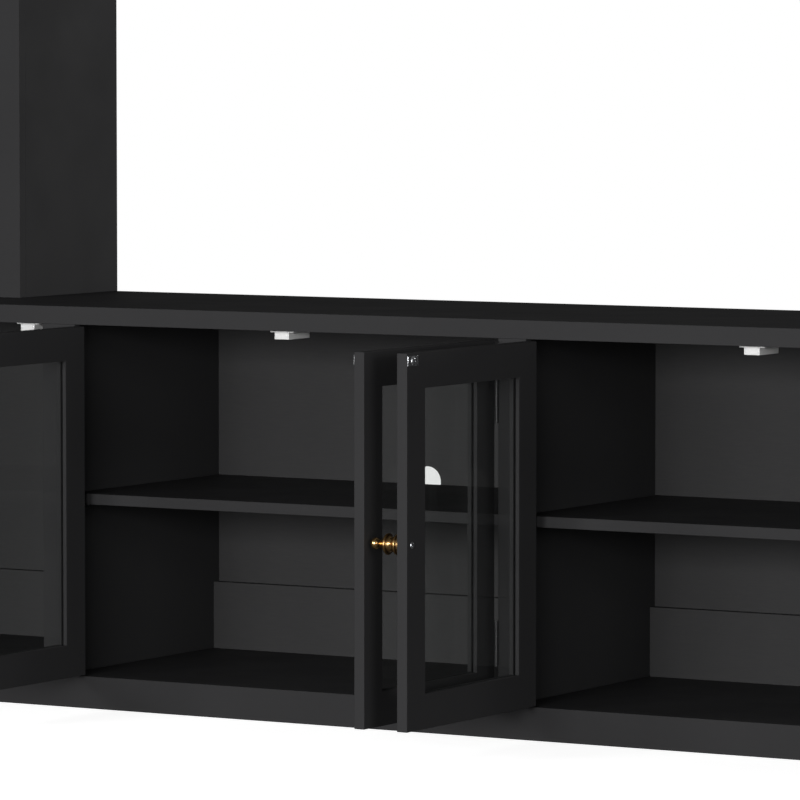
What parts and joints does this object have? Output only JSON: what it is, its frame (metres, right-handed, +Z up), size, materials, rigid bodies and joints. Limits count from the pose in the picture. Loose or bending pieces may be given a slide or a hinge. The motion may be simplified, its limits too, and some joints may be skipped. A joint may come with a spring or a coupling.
{
  "type": "media cabinet",
  "caption": "Black media cabinet: long low console with glazed inset doors on butt hinges, open at rest, and a tall glazed tower at each end.",
  "frame": {"origin": "middle of the underside of the whole cabinet's box, with the console doors open as at rest", "axes": "+X to the right seen from the front, +Y towards the wall behind, +Z up"},
  "size_m": [2.465, 0.8566, 1.9],
  "materials": {
    "black_paint": "satin black paint on board",
    "clear_glass": "clear polished",
    "antique_brass": "antique, polished on the high places",
    "bright_steel": "zinc plated",
    "black_steel": "black, satin",
    "white_plastic": "moulded, soft gloss",
    "beech": "plain, fluted dowel"
  },
  "bodies": {
    "cabinet": {"console_top": "black_paint", "bottom_panel": "black_paint", "base_front": "black_paint", "base_rails": "black_paint", "end_panel_left": "black_paint", "end_panel_right": "black_paint", "partition_left": "black_paint", "partition_middle": "black_paint", "partition_right": "black_paint", "face_stiles": "black_paint", "back_panels": "black_paint", "back_rails": "black_paint", "shelf_left": "black_paint", "shelf_right": "black_paint", "shelf_pins": "bright_steel", "door_catches": "white_plastic", "dowels": "beech", "frame_hinges": "black_steel", "tower_left_outer_side": "black_paint", "tower_left_inner_side": "black_paint", "tower_left_top": "black_paint", "tower_left_bottom": "black_paint", "tower_left_face_frame": "black_paint", "tower_left_shelves": "black_paint", "tower_right_outer_side": "black_paint", "tower_right_inner_side": "black_paint", "tower_right_top": "black_paint", "tower_right_bottom": "black_paint", "tower_right_face_frame": "black_paint", "tower_right_shelves": "black_paint"},
    "door_1": {"door_1_frame": "black_paint", "door_1_glass": "clear_glass", "door_1_fittings": "black_steel", "door_1_knob": "antique_brass"},
    "door_2": {"door_2_frame": "black_paint", "door_2_glass": "clear_glass", "door_2_fittings": "black_steel", "door_2_knob": "antique_brass"},
    "door_3": {"door_3_frame": "black_paint", "door_3_glass": "clear_glass", "door_3_fittings": "black_steel"},
    "door_4": {"door_4_frame": "black_paint", "door_4_glass": "clear_glass", "door_4_fittings": "black_steel", "door_4_knob": "antique_brass"},
    "door_5": {"door_5_frame": "black_paint", "door_5_glass": "clear_glass", "door_5_fittings": "black_steel"},
    "door_6": {"door_6_frame": "black_paint", "door_6_glass": "clear_glass", "door_6_fittings": "black_steel", "door_6_knob": "antique_brass"},
    "tower_door_left": {"tower_door_left_frame": "black_paint", "tower_door_left_glass": "clear_glass", "tower_door_left_fittings": "black_steel", "tower_door_left_knob": "antique_brass"},
    "tower_door_right": {"tower_door_right_frame": "black_paint", "tower_door_right_glass": "clear_glass", "tower_door_right_fittings": "black_steel", "tower_door_right_knob": "antique_brass"}
  },
  "joints": [
    {"name": "door_1_hinge", "type": "hinge", "parent": "cabinet", "child": "door_1", "pos_m": [-1.188, 0.00575, 0.29], "axis": [0, 0, 1], "range_deg": [0, 90]},
    {"name": "door_2_hinge", "type": "hinge", "parent": "cabinet", "child": "door_2", "pos_m": [-0.698, 0.00575, 0.29], "axis": [0, 0, 1], "range_deg": [0, 90]},
    {"name": "door_3_hinge", "type": "hinge", "parent": "cabinet", "child": "door_3", "pos_m": [-0.022, 0.00575, 0.29], "axis": [0, 0, 1], "range_deg": [-90, 0]},
    {"name": "door_4_hinge", "type": "hinge", "parent": "cabinet", "child": "door_4", "pos_m": [0.022, 0.00575, 0.29], "axis": [0, 0, 1], "range_deg": [0, 90]},
    {"name": "door_5_hinge", "type": "hinge", "parent": "cabinet", "child": "door_5", "pos_m": [0.698, 0.00575, 0.29], "axis": [0, 0, 1], "range_deg": [-90, 0]},
    {"name": "door_6_hinge", "type": "hinge", "parent": "cabinet", "child": "door_6", "pos_m": [1.188, 0.00575, 0.29], "axis": [0, 0, 1], "range_deg": [-90, 0]},
    {"name": "tower_door_left_hinge", "type": "hinge", "parent": "cabinet", "child": "tower_door_left", "pos_m": [-1.188, 0.17375, 1.24], "axis": [0, 0, 1], "range_deg": [-105, 0]},
    {"name": "tower_door_right_hinge", "type": "hinge", "parent": "cabinet", "child": "tower_door_right", "pos_m": [1.188, 0.17375, 1.24], "axis": [0, 0, 1], "range_deg": [0, 105]}
  ]
}
